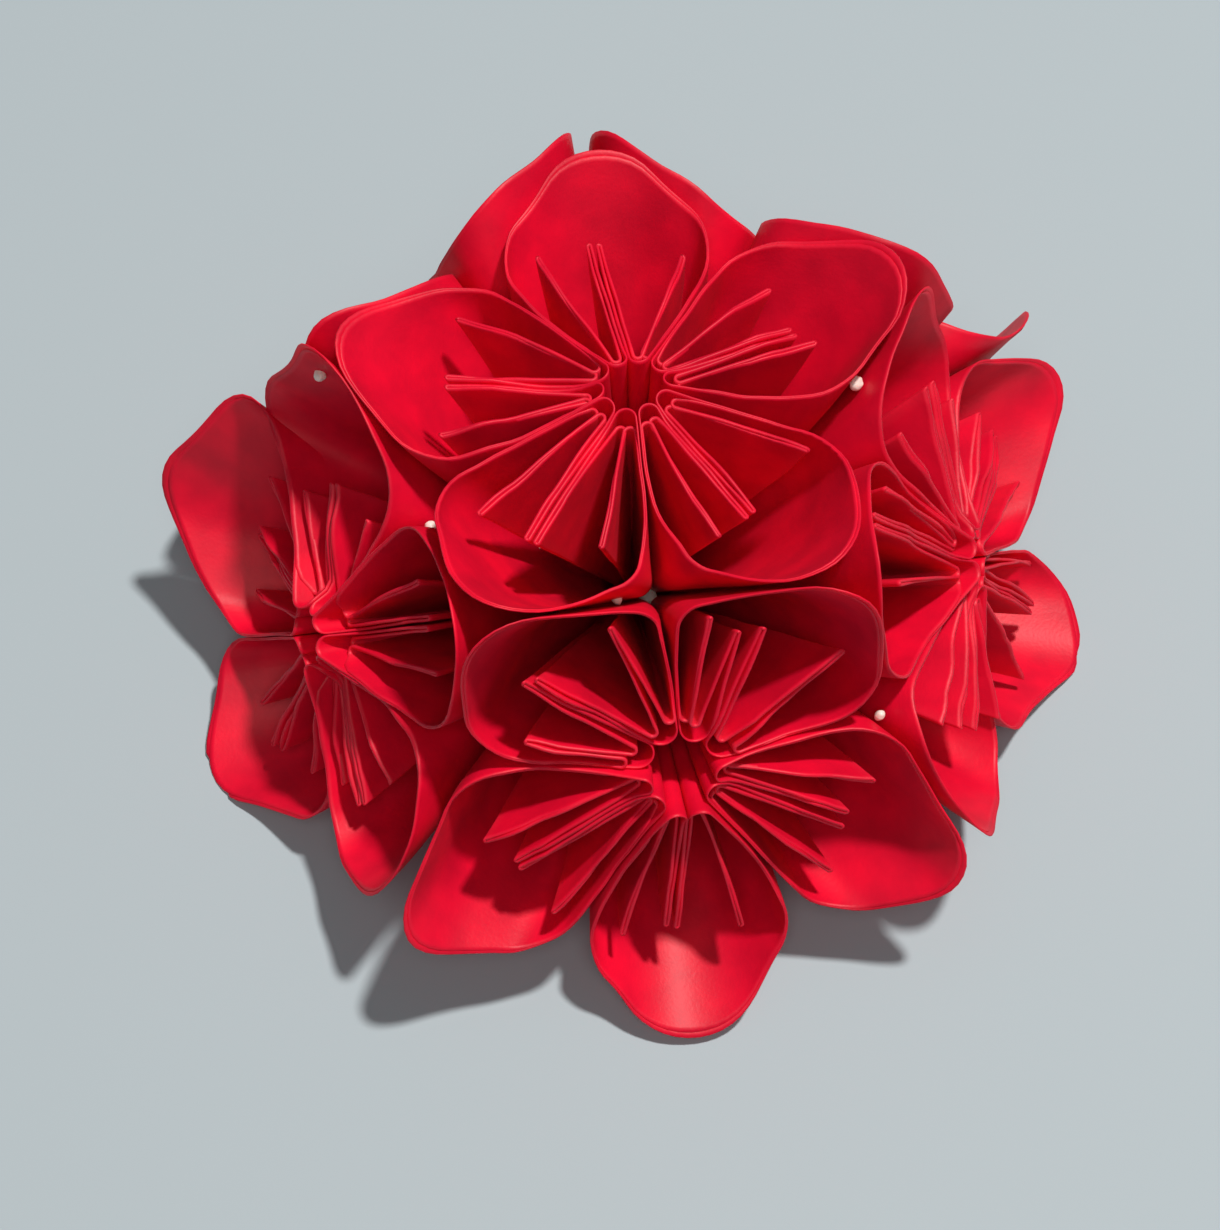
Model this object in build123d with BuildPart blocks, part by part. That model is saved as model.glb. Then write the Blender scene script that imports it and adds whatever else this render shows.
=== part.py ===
"""Half of a kusudama paper ball: six flowers of five folded sheets each, glued into a dome.

Every sheet is a square creased through its middle and rolled into a petal, a cone whose point lies
at the ball's centre. The layout is the upper half of a dodecahedron: one flower on top and five in
a ring, each petal filling the kite between its flower's middle, two edge middles and a corner.
"""

import os
from dataclasses import dataclass
from math import acos, asin, atan, cos, degrees, hypot, radians, sin, tan

from build123d import *

os.makedirs("parts", exist_ok=True)

# Sheet of paper, mm
paper_side = 38.0
paper_thickness = 0.12
corner_radius = 5.7  # trimmed corner of the sheet, at the tip of the petal
wall_layers = 2  # the flap lies flat on the inside of the petal's wall

# Rounded bends of a petal's wall, measured at the height of the flower's middle, mm
nose_radius = 2.98
side_radius = 3.42
tip_radius = 3.8
least_flat = 0.3  # flat wall that stays between two bends of a short side
rim_sag = 1.45  # how far the petal's mouth hollows below the chord from nose to tip

# Pleats inside a petal, measured from the middle of the nose bend at the same height, mm
side_pleat_reach = 3.0
side_pleat_offset = 2.9
middle_pleat_reach = 3.6
middle_pleat_offset = 0.5
valley_reach = -2.25
valley_offset = 0.8
fold_width = 0.45
pleat_clearance = 0.1  # least gap between a fold of the flap and the petal's wall
pleat_start_angle = 62.0  # where the flap leaves the nose bend, degrees off its front

# Root of a petal, where the layers are pinched into one bundle, mm from the ball's centre
root_start = 1.5
root_end = 9.0
trim_margin = 2.0  # spare height above the tip before the mouth is cut
pleat_drop = 0.4  # tops of the pleats below the height of the flower's middle

# Flat facets that the stiff paper takes a bend in
facet_angle = 20.0  # turn from one facet to the next, about, degrees
mouth_facets = 7
mouth_overrun = 1.45  # length of the cut through the mouth, in chords from nose to tip

# Dome
petal_count = 5
foot_flat_depth = 0.06  # how much of a regular bottom tip the table presses flat, mm

# Glue
glue_radius = 1.45
glue_depth = 3.2  # bottom of a dot below the height of the flowers' middles, mm
glue_thickness = 1.6
glue_sides = 8

# Slopes of the dodecahedron, per mm of height above the ball's centre
ring_tilt = degrees(atan(2))
edge_slope = tan(radians(ring_tilt / 2))
half_step = 180 / petal_count
corner_slope = edge_slope / cos(radians(half_step))

hinge_height = paper_side / 2
tip_length = hypot(paper_side, paper_side) / 2 - corner_radius * (hypot(1, 1) - 1)
wall = wall_layers * paper_thickness
pleat_top = hinge_height - pleat_drop


@dataclass(frozen=True)
class Petal:
    """How one petal departs from the regular one: shares of its slopes, degrees and mm."""

    tip: float = 1.0  # share of the regular reach of the tip
    swing: float = 0.0  # degrees that the tip leans to the petal's left
    left: float = 1.0  # share of the regular reach of the left bend
    right: float = 1.0
    rise: float = 0.0  # mm that the tip stands above a regular one
    swell: float = 0.0  # mm that the middle of the mouth stands above a regular one


@dataclass(frozen=True)
class Flower:
    """One flower: its place round the dome, its petals and how far its middle has slipped."""

    name: str
    tilt: float  # degrees from straight up
    turn: float  # degrees round the dome
    petals: tuple[Petal, ...]
    slip: tuple[float, float] = (0.0, 0.0)  # mm along and across the first petal


flowers = (
    Flower("top", 0, -90 + half_step, (
        Petal(left=0.95, right=0.93),
        Petal(right=0.87, rise=0.2),
        Petal(),
        Petal(),
        Petal(left=0.95),
    )),
    Flower("front", ring_tilt, -90, (
        Petal(tip=1.03, left=0.92, right=0.92, rise=0.42),
        Petal(tip=1.01, swing=-4, right=1.08, rise=-0.3),
        Petal(),
        Petal(),
        Petal(tip=1.02, swing=3, left=1.04, rise=-0.3),
    ), (-2.2, 0.2)),
    Flower("right", ring_tilt, -18, (
        Petal(tip=0.97, swing=9, left=1.25, rise=-0.1),
        Petal(right=1.05, rise=0.3),
        Petal(tip=0.97),
        Petal(),
        Petal(swing=1, left=1.10),
    )),
    Flower("back_right", ring_tilt, 54, (
        Petal(),
        Petal(),
        Petal(tip=0.95, rise=-0.6),
        Petal(tip=0.95, rise=0.6, swell=0.9),
        Petal(tip=0.95, rise=1.3, swell=0.4),
    )),
    Flower("back_left", ring_tilt, 126, (
        Petal(),
        Petal(tip=0.91, rise=1.0, swell=0.4),
        Petal(rise=0.2),
        Petal(tip=0.92, rise=0.4, swell=1.2),
        Petal(),
    )),
    Flower("left", ring_tilt, 198, (
        Petal(swing=-4, right=1.10, rise=-0.4),
        Petal(swing=-2, left=0.88),
        Petal(tip=0.95, left=0.94, right=0.97),
        Petal(tip=0.94, left=0.95, right=0.88),
        Petal(tip=1.03, swing=3, left=1.09),
    )),
)


def polar(length, angle):
    """Point at a length and an angle in degrees."""
    return Vector(length * cos(radians(angle)), length * sin(radians(angle)))


# Mouth of a regular petal in its own upright plane: across the flower, then along its axis
nose_slope = nose_radius / hinge_height * (1 / sin(radians(half_step)) - 1)
tip_half_angle = radians(90 - half_step)
tip_slope = corner_slope - tip_radius / hinge_height * (1 / sin(tip_half_angle) - 1)
nose_point = Vector(nose_slope, 1).normalized() * hinge_height
tip_point = Vector(tip_slope, 1).normalized() * tip_length
envelope_top = tip_point.Y + trim_margin

# Height of the ball's centre, so that the regular bottom tips just press on the table
tip_drop = tip_point.X * sin(radians(ring_tilt)) - tip_point.Y * cos(radians(ring_tilt))
ball_centre = Vector(0, 0, tip_drop - foot_flat_depth)


def flower_axis(flower):
    """Direction in which a flower faces."""
    across = polar(sin(radians(flower.tilt)), flower.turn)
    return Vector(across.X, across.Y, cos(radians(flower.tilt)))


def petal_plane(flower, index):
    """Plane of one petal: X from the flower's middle to the petal's tip, Z along the flower."""
    axis = flower_axis(flower)
    outward = polar(cos(radians(flower.tilt)), flower.turn)
    first = Vector(outward.X, outward.Y, -sin(radians(flower.tilt)))
    step = 2 * half_step * index
    return Plane(ball_centre, first.rotate(Axis((0, 0, 0), axis), step), axis)


def petal_corners(flower, index):
    """Slopes of the petal's corners: the flower's middle, right bend, tip and left bend."""
    shape = flower.petals[index]
    along, across = flower.slip
    middle = Vector(along, across).rotate(Axis.Z, -2 * half_step * index) / hinge_height
    right = polar(edge_slope * shape.right, -half_step)
    tip = polar(corner_slope * shape.tip, shape.swing)
    left = polar(edge_slope * shape.left, half_step)
    return middle, right, tip, left


def bend(before, corner, after, radius):
    """Centre of the round bend at a corner, and the creases between its flat facets."""
    to_before = (before - corner).normalized()
    to_after = (after - corner).normalized()
    half_angle = acos(to_before.dot(to_after)) / 2
    inward = (to_before + to_after).normalized()
    centre = corner + inward * (radius / sin(half_angle))
    sweep = 180 - 2 * degrees(half_angle)
    facets = max(2, round(sweep / facet_angle))
    turns = [sweep * (step / facets - 0.5) for step in range(facets + 1)]
    return centre, [centre - inward.rotate(Axis.Z, turn) * radius for turn in turns]


def bend_radii(corners):
    """Radii of a petal's bends as slopes, no larger than the sides beside them have room for."""
    radii = [radius / hinge_height for radius in (nose_radius, side_radius, tip_radius, side_radius)]
    sides = [corners[(place + 1) % len(corners)] - corner for place, corner in enumerate(corners)]
    runs = []
    for place, radius in enumerate(radii):
        turn = sides[place - 1].get_angle(sides[place])
        runs.append(radius * tan(radians(turn / 2)))
    rooms = []
    for place, side in enumerate(sides):
        bendable = side.length - least_flat / hinge_height
        rooms.append(bendable / (runs[place] + runs[(place + 1) % len(runs)]))
    return [radius * min(1, rooms[place - 1], rooms[place]) for place, radius in enumerate(radii)]


def wall_outline(corners):
    """Slopes of the creases all round a petal's wall."""
    points = []
    for place, radius in enumerate(bend_radii(corners)):
        ends = corners[place - 1], corners[place], corners[(place + 1) % len(corners)]
        points += bend(*ends, radius)[1]
    return points


def mitre(before, point, after, distance):
    """Point moved to the left of a path by a distance, on the mitre of its turn."""
    arriving = (point - before).normalized()
    leaving = (after - point).normalized()
    normal = Vector(-arriving.Y - leaving.Y, arriving.X + leaving.X).normalized()
    return point + normal * (distance / (normal.Y * arriving.X - normal.X * arriving.Y))


def inset(points, distance):
    """Closed outline moved inwards by a distance."""
    return [
        mitre(points[place - 1], point, points[(place + 1) % len(points)], distance)
        for place, point in enumerate(points)
    ]


def strip(path, width):
    """Outlines of the flat panels of a strip of even width along an open path."""
    ends = [path[0] * 2 - path[1], *path, path[-1] * 2 - path[-2]]
    turns = list(zip(ends, path, ends[2:]))
    left = [mitre(*turn, width / 2) for turn in turns]
    right = [mitre(*turn, -width / 2) for turn in turns]
    return list(zip(left, left[1:], right[1:], right))


def folded_solid(plane, outlines):
    """Solid with flat sides between two outlines, each given with its height on the plane."""
    rings = [
        [plane.from_local_coords((point.X, point.Y, height)) for point in points]
        for height, points in outlines
    ]
    lower, upper = rings
    loops = [lower, upper]
    for place, point in enumerate(lower):
        loops.append([lower[place - 1], point, upper[place], upper[place - 1]])
    return Solid(Shell([Face(Wire.make_polygon(loop)) for loop in loops]))


def wall_solid(plane, outline, heights, thickness=0.0):
    """Cone over the wall's creases between two heights, moved inwards by a thickness."""
    sections = []
    for height in heights:
        points = [point * height for point in outline]
        sections.append((height, inset(points, thickness)))
    return folded_solid(plane, sections)


def pleat_path(side):
    """Flap on one side, from the nose bend to the seam: out, back to the valley and out again."""
    half_fold = fold_width / 2
    start = polar(wall / 2 - nose_radius, -pleat_start_angle)
    path = [
        start,
        Vector(side_pleat_reach, side_pleat_offset + half_fold),
        Vector(side_pleat_reach, side_pleat_offset - half_fold),
        Vector(valley_reach, valley_offset + half_fold),
        Vector(valley_reach, valley_offset - half_fold),
        Vector(middle_pleat_reach, middle_pleat_offset),
        Vector(middle_pleat_reach, paper_thickness),
    ]
    return [Vector(point.X, side * point.Y) for point in path]


def drawn_in(point, origin, limits):
    """Point, or the last place on the way to it from an origin that lies inside an outline."""
    share = 1.0
    for place, corner in enumerate(limits):
        edge = corner - limits[place - 1]
        inward = Vector(-edge.Y, edge.X)
        depth = (point - corner).dot(inward)
        start = (origin - corner).dot(inward)
        if depth < 0:
            share = min(share, start / (start - depth))
    return origin + (point - origin) * share


def pleat_panels(plane, corners, path, width):
    """Flat panels between the creases of a flap, set out from the petal's own nose bend."""
    middle, right, _, left = corners
    centre = bend(left, middle, right, bend_radii(corners)[0])[0] * hinge_height
    along = (centre - middle * hinge_height).normalized()
    across = Vector(-along.Y, along.X)
    outline = [point * hinge_height for point in wall_outline(corners)]
    limits = inset(outline, wall + width / 2 + pleat_clearance)
    start, *folds = [centre + along * point.X + across * point.Y for point in path]
    placed = [start, *[drawn_in(fold, centre, limits) for fold in folds]]
    sections = []
    for height in (root_end, pleat_top):
        scaled = [point * (height / hinge_height) for point in placed]
        sections.append([(height, panel) for panel in strip(scaled, width)])
    return [folded_solid(plane, ends) for ends in zip(*sections)]


def mouth_cut(shape):
    """Outline of what is cut away above a petal's hollowed mouth, in its upright plane."""
    tip = tip_point + Vector(0, shape.rise)
    chord = tip - nose_point
    sag = rim_sag - shape.swell
    radius = (chord.length**2 / 4 + sag**2) / (2 * sag)
    upward = Vector(-chord.Y, chord.X).normalized()
    centre = (nose_point + tip) / 2 + upward * (radius - sag)
    half_sweep = degrees(asin(mouth_overrun * chord.length / 2 / radius))
    turns = [half_sweep * (2 * step / mouth_facets - 1) for step in range(mouth_facets + 1)]
    points = [centre - upward.rotate(Axis.Z, turn) * radius for turn in turns]
    clear = envelope_top + trim_margin
    return [*points, Vector(points[-1].X, clear), Vector(points[0].X, clear)]


seam = [
    Vector(wall / 2 - nose_radius, 0),
    Vector(middle_pleat_reach + paper_thickness / 2, 0),
]
petals = []
envelopes = []
for flower in flowers:
    for index, shape in enumerate(flower.petals):
        plane = petal_plane(flower, index)
        corners = petal_corners(flower, index)
        outline = wall_outline(corners)
        upright = Plane(ball_centre, plane.x_dir, -plane.y_dir)

        with BuildPart() as envelope:
            add(wall_solid(plane, outline, (root_start, envelope_top)))
            with BuildSketch(upright):
                Polygon(*mouth_cut(shape), align=None)
            extrude(amount=paper_side, both=True, mode=Mode.SUBTRACT)
            if flower.tilt and index == 0:
                split(bisect_by=Plane.XY, keep=Keep.TOP)
        envelopes.append(envelope.part)

        cavity = wall_solid(plane, outline, (root_end, envelope_top), wall)
        with BuildPart() as petal_wall:
            add(envelope.part)
            add(cavity, mode=Mode.SUBTRACT)

        panels = pleat_panels(plane, corners, seam, 2 * paper_thickness)
        for side in (1, -1):
            panels += pleat_panels(plane, corners, pleat_path(side), paper_thickness)
        sheet = [petal_wall.solid()]
        for panel in panels:
            with BuildPart() as pleat:
                add(panel)
                add(cavity, mode=Mode.INTERSECT)
            sheet.append(pleat.solid())
        petals.append(Compound(sheet, label=f"{flower.name}_petal_{index + 1}"))

ring = [flower for flower in flowers if flower.tilt]
top = flowers[0]
neighbours = [(top, flower) for flower in ring]
neighbours += list(zip(ring, ring[1:] + ring[:1]))

with BuildPart() as glue_dots:
    for one, other in neighbours:
        outwards = (flower_axis(one) + flower_axis(other)).normalized()
        with BuildSketch(Plane(ball_centre + outwards * (hinge_height - glue_depth), z_dir=outwards)):
            RegularPolygon(glue_radius, glue_sides)
    extrude(amount=glue_thickness)
    for body in envelopes:
        add(body, mode=Mode.SUBTRACT)
glue_dots.part.label = "glue_dots"

for part in petals + [glue_dots.part]:
    export_step(part, f"parts/{part.label}.step")
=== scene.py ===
"""Looks of half a kusudama paper ball: thirty rolled sheets of red paper and their dots of glue.

Every sheet is drawn as the belt that its rim makes round a row of folds, and one node tree rolls
that rim down to the ball's centre, crinkles it and gives it its thickness.
"""

import logging
from collections.abc import Iterator
from dataclasses import dataclass, field, replace
from enum import Enum
from math import atan, ceil, cos, degrees, hypot, pi, radians, sin, tan

import bpy
import numpy as np
from bpy.types import ID, Material, Mesh, Node, NodeSocket, NodeTree, Object
from mathutils import Matrix, Vector

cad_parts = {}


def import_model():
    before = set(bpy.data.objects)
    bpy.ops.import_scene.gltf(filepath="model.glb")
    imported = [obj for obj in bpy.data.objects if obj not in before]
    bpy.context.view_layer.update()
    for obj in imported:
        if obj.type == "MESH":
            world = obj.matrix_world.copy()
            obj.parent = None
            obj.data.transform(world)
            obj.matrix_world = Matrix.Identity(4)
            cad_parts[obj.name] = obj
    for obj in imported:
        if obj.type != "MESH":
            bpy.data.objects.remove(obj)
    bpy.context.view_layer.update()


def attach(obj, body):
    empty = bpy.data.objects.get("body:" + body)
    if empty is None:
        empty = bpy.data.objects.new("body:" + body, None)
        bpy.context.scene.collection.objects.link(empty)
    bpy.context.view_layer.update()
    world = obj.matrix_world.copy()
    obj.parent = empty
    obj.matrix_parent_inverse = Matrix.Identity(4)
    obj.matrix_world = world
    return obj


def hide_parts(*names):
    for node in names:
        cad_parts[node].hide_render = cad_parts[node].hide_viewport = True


Triple = tuple[float, float, float]

log = logging.getLogger("paper_half_ball")

MM = 0.001
BODY = "root"

# The flat sheet and the rounding of its corners, mm
PAPER_SIDE = 38.0
CORNER_RADIUS = 5.7
HINGE = PAPER_SIDE / 2
TIP_LENGTH = hypot(PAPER_SIDE, PAPER_SIDE) / 2 - CORNER_RADIUS * (hypot(1, 1) - 1)

# The dome, half of a ball with twelve flowers
PETALS = 5
HALF_STEP = pi / PETALS
RING_TILT = atan(2)
EDGE_SLOPE = tan(RING_TILT / 2)
CORNER_SLOPE = EDGE_SLOPE / cos(HALF_STEP)

# Bends of a regular petal at the height of the flower's middle, mm
NOSE_RADIUS = 2.98
SIDE_RADIUS = 3.42
TIP_RADIUS = 3.8

# Start and end of a regular petal's rim, out from the flower's axis and along it, mm
NOSE_SLOPE = NOSE_RADIUS / HINGE * (1 / sin(HALF_STEP) - 1)
TIP_SLOPE = CORNER_SLOPE - TIP_RADIUS / HINGE * (1 / sin(pi / 2 - HALF_STEP) - 1)
NOSE_POINT = np.array([NOSE_SLOPE, 1.0]) * HINGE / hypot(NOSE_SLOPE, 1)
TIP_POINT = np.array([TIP_SLOPE, 1.0]) * TIP_LENGTH / hypot(TIP_SLOPE, 1)

# The ball's centre, so that the lowest tips stand on the floor and are a little flattened, mm
FOOT_FLAT = 0.06
BALL_HEIGHT = TIP_POINT[0] * sin(RING_TILT) - TIP_POINT[1] * cos(RING_TILT) - FOOT_FLAT
BALL_CENTRE = np.array([0.0, 0.0, BALL_HEIGHT])

# Guards against a division by nothing and against a whole number that falls short
TINY = 1e-9
NUDGE = 0.01

# Distance at which points are one, m, and the noise that crinkles paper and glue
MERGE_DISTANCE = 1e-6
NOISE_DETAIL = 2.0
NOISE_MIDDLE = (0.5, 0.5, 0.5)


class Turn(Enum):
    """Way that the sheet turns round a fold, seen from outside the ball."""

    LEFT = 1
    RIGHT = -1


class Socket(Enum):
    """Kind of a node tree's input."""

    FLOAT = "NodeSocketFloat"
    INT = "NodeSocketInt"
    VECTOR = "NodeSocketVector"
    MATERIAL = "NodeSocketMaterial"
    GEOMETRY = "NodeSocketGeometry"


class Layer(Enum):
    """Part of the folded sheet that a stretch of its rim belongs to."""

    OUTER_WALL = "outer wall"
    PLEAT = "pleat"
    INNER_WALL = "inner wall"


def polar(length: float, angle: float) -> np.ndarray:
    """Point at a length and an angle in radians."""
    return np.array([length * cos(angle), length * sin(angle)])


def left_of(direction: np.ndarray) -> np.ndarray:
    """Direction a quarter turn to the left."""
    return np.array([-direction[1], direction[0]])


def unit(vector: np.ndarray) -> np.ndarray:
    """Vector of length one."""
    return vector / np.linalg.norm(vector)


def add_object(name: str, data: ID) -> Object:
    """Puts a new object into the scene, at the origin.

    Args:
        name: Name of the object.
        data: Its mesh, lamp or camera.

    Returns:
        The new object.
    """
    piece = bpy.data.objects.new(name, data)
    bpy.context.scene.collection.objects.link(piece)
    return piece


def store(mesh: Mesh, name: str, values: np.ndarray) -> None:
    """Stores a number or a vector at every point of a mesh.

    Args:
        mesh: The mesh.
        name: Name of the attribute.
        values: One number or one vector for each point.
    """
    kind, key = ("FLOAT", "value") if values.ndim == 1 else ("FLOAT_VECTOR", "vector")
    attribute = mesh.attributes.new(name, kind, "POINT")
    attribute.data.foreach_set(key, values.astype(np.float32).ravel())


class Nodes:
    """Node tree under construction: short ways to add nodes and to feed their inputs."""

    def __init__(self, tree: NodeTree) -> None:
        """Takes the tree that the nodes go into."""
        self.tree = tree

    def feed(self, node: Node, sources: dict[str | int, object]) -> None:
        """Feeds inputs of a node.

        Args:
            node: The node.
            sources: Input names or places, each with a value or with the output that feeds it.
        """
        for key, source in sources.items():
            if isinstance(source, NodeSocket):
                self.tree.links.new(source, node.inputs[key])
            else:
                node.inputs[key].default_value = source

    def add(self, kind: str, sources: dict[str | int, object], **settings: object) -> Node:
        """Adds a node and feeds its inputs.

        Args:
            kind: Type of the node.
            sources: What feeds its inputs, as in feed.
            settings: Properties of the node.

        Returns:
            The new node.
        """
        node = self.tree.nodes.new(kind)
        for key, value in settings.items():
            setattr(node, key, value)
        self.feed(node, sources)
        return node

    def maths(self, operation: str, *terms: object) -> NodeSocket:
        """Result of a sum on numbers."""
        return self.add("ShaderNodeMath", dict(enumerate(terms)), operation=operation).outputs[0]

    def vectors(self, operation: str, *terms: object) -> NodeSocket:
        """Result of a sum on vectors."""
        node = self.add("ShaderNodeVectorMath", dict(enumerate(terms)), operation=operation)
        return node.outputs[0]

    def scaled(self, vector: object, scale: object) -> NodeSocket:
        """Vector times a number."""
        sources = {0: vector, "Scale": scale}
        return self.add("ShaderNodeVectorMath", sources, operation="SCALE").outputs[0]


class Tree(Nodes):
    """Geometry node tree that takes and gives a mesh."""

    def __init__(self, name: str, inputs: dict[str, Socket]) -> None:
        """Starts the tree.

        Args:
            name: Name of the tree.
            inputs: Names and kinds of its inputs beside the mesh.
        """
        super().__init__(bpy.data.node_groups.new(name, "GeometryNodeTree"))
        sockets = self.tree.interface
        for label, kind in ({"Geometry": Socket.GEOMETRY} | inputs).items():
            sockets.new_socket(label, in_out="INPUT", socket_type=kind.value)
        sockets.new_socket("Geometry", in_out="OUTPUT", socket_type=Socket.GEOMETRY.value)
        entry = self.tree.nodes.new("NodeGroupInput")
        self.given = {socket.name: socket for socket in entry.outputs}
        self.exit = self.tree.nodes.new("NodeGroupOutput")

    def push(self, noise: Node, height: object) -> NodeSocket:
        """Uneven push in all directions, as far as a height."""
        return self.scaled(self.vectors("SUBTRACT", noise.outputs["Color"], NOISE_MIDDLE), height)

    def finish(self, mesh: NodeSocket, paint: NodeSocket) -> None:
        """Ends the tree: realizes instances, sets the material and gives the mesh out.

        Args:
            mesh: The mesh that the tree has made.
            paint: The input that holds the material.
        """
        real = self.add("GeometryNodeRealizeInstances", {"Geometry": mesh}).outputs[0]
        painted = self.add("GeometryNodeSetMaterial", {"Geometry": real, "Material": paint})
        self.tree.links.new(painted.outputs[0], self.exit.inputs[0])

    def run(self, piece: Object, values: dict[str, object]) -> None:
        """Runs the tree on a piece and leaves a plain mesh.

        Args:
            piece: Object whose mesh the tree takes.
            values: The tree's named inputs.
        """
        modifier = piece.modifiers.new(self.tree.name, "NODES")
        modifier.node_group = self.tree
        for item in self.tree.interface.items_tree:
            if item.item_type == "SOCKET" and item.in_out == "INPUT" and item.name in values:
                modifier[item.identifier] = values[item.name]
        graph = bpy.context.evaluated_depsgraph_get()
        graph.update()
        mesh = bpy.data.meshes.new_from_object(piece.evaluated_get(graph))
        piece.modifiers.remove(modifier)
        start, piece.data = piece.data, mesh
        bpy.data.meshes.remove(start)
        mesh.name = piece.name


def plain_material(name: str, values: dict[str | int, object]) -> Material:
    """Material that looks the same all over.

    Args:
        name: Name of the material.
        values: Inputs of its shader.

    Returns:
        The material.
    """
    made = bpy.data.materials.new(name)
    made.use_nodes = True
    Nodes(made.node_tree).feed(made.node_tree.nodes["Principled BSDF"], values)
    return made


@dataclass(frozen=True)
class PaperFinish:
    """Dyed paper: its colours, how it shines and how coarse its fibres are."""

    name: str = "red_paper"
    colour: Triple = (0.95, 0.003, 0.044)
    # Pale pink of worn folds and cut edges, which also stands in for a painted highlight on them
    wear_and_highlight_colour: Triple = (0.95, 0.06, 0.11)
    roughness: float = 0.46
    specular: float = 0.42
    sheen: float = 0.02
    sheen_roughness: float = 0.4
    sheen_tint: Triple = (1.0, 0.35, 0.38)
    mottle_scale: float = 420.0
    mottle_detail: float = 6.0
    mottle_span: tuple[float, float] = (0.3, 0.7)
    mottle_tones: tuple[float, float] = (0.86, 1.1)
    fibre_scale: float = 5200.0
    fibre_detail: float = 3.0
    fibre_depth: float = 0.0001
    bump: float = 0.12
    translucency: float = 0.35

    def material(self) -> Material:
        """Material whose folds and cut edges are painted paler, for wear and a painted highlight.

        Returns:
            The finished material.
        """
        made = plain_material(self.name, {
            "Roughness": self.roughness,
            "Specular IOR Level": self.specular,
            "Sheen Weight": self.sheen,
            "Sheen Roughness": self.sheen_roughness,
            "Sheen Tint": (*self.sheen_tint, 1.0),
        })
        nodes = Nodes(made.node_tree)
        place = nodes.add("ShaderNodeTexCoord", {}).outputs["Object"]
        mottle = nodes.add("ShaderNodeTexNoise", {
            "Vector": place,
            "Scale": self.mottle_scale,
            "Detail": self.mottle_detail,
        }).outputs["Fac"]
        tone = nodes.add("ShaderNodeMapRange", {
            "Value": mottle,
            "From Min": self.mottle_span[0],
            "From Max": self.mottle_span[1],
            "To Min": self.mottle_tones[0],
            "To Max": self.mottle_tones[1],
        }).outputs["Result"]
        # Mix towards the pale pink at folds and cut edges: wear, and a painted highlight on rims and fold
        # edges
        wear_and_highlight = nodes.add("ShaderNodeAttribute", {}, attribute_name="wear_and_highlight").outputs["Fac"]
        worn_and_highlit = {"A": nodes.scaled(self.colour, tone), "B": (*self.wear_and_highlight_colour, 1.0), "Factor": wear_and_highlight}
        colour = nodes.add("ShaderNodeMix", worn_and_highlit, data_type="RGBA").outputs["Result"]
        fibre = nodes.add("ShaderNodeTexNoise", {
            "Vector": place,
            "Scale": self.fibre_scale,
            "Detail": self.fibre_detail,
        }).outputs["Fac"]
        grain = nodes.add("ShaderNodeBump", {
            "Height": fibre,
            "Strength": self.bump,
            "Distance": self.fibre_depth,
        }).outputs["Normal"]
        shader = made.node_tree.nodes["Principled BSDF"]
        nodes.feed(shader, {"Base Color": colour, "Normal": grain})
        glow = nodes.add("ShaderNodeBsdfTranslucent", {"Color": colour}).outputs["BSDF"]
        thin = {"Fac": self.translucency, 1: shader.outputs["BSDF"], 2: glow}
        paper = nodes.add("ShaderNodeMixShader", thin).outputs["Shader"]
        nodes.feed(made.node_tree.nodes["Material Output"], {"Surface": paper})
        return made


@dataclass(frozen=True)
class GlueFinish:
    """Dried white glue."""

    name: str = "dried_glue"
    colour: Triple = (0.86, 0.74, 0.68)
    roughness: float = 0.38
    clearness: float = 0.2
    light_reach: Triple = (0.0006, 0.0004, 0.0003)

    def material(self) -> Material:
        """Material of one even colour that lets a little light in.

        Returns:
            The finished material.
        """
        return plain_material(self.name, {
            "Base Color": (*self.colour, 1.0),
            "Roughness": self.roughness,
            "Subsurface Weight": self.clearness,
            "Subsurface Radius": self.light_reach,
        })


@dataclass(frozen=True)
class Fold:
    """Round fold that the sheet passes.

    Attributes:
        middle: Middle of the fold at the height of the flower's middle, mm.
        radius: Radius of the fold, mm.
        turn: Way that the sheet turns.
        layer: Part of the sheet at the fold.
        after: Part of the sheet between this fold and the next one.
        crease: How pale the fold is painted, for wear and a painted highlight, up to 1.
    """

    middle: np.ndarray
    radius: float
    turn: Turn
    layer: Layer
    after: Layer
    crease: float = 0.0

    def tangent(self, other: "Fold") -> tuple[np.ndarray, np.ndarray, float]:
        """Straight run of paper from this fold to the next one.

        Args:
            other: The fold that the paper goes to.

        Returns:
            The run's start, its end and its heading in radians.
        """
        span = other.middle - self.middle
        shift = other.turn.value * other.radius - self.turn.value * self.radius
        length = float(np.sqrt(max(span @ span - shift * shift, TINY)))
        heading = np.arctan2(span[1], span[0]) - np.arctan2(shift, length)
        side = left_of(polar(1, heading))
        start = self.middle - side * self.radius * self.turn.value
        end = other.middle - side * other.radius * other.turn.value
        return start, end, float(heading)


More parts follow.
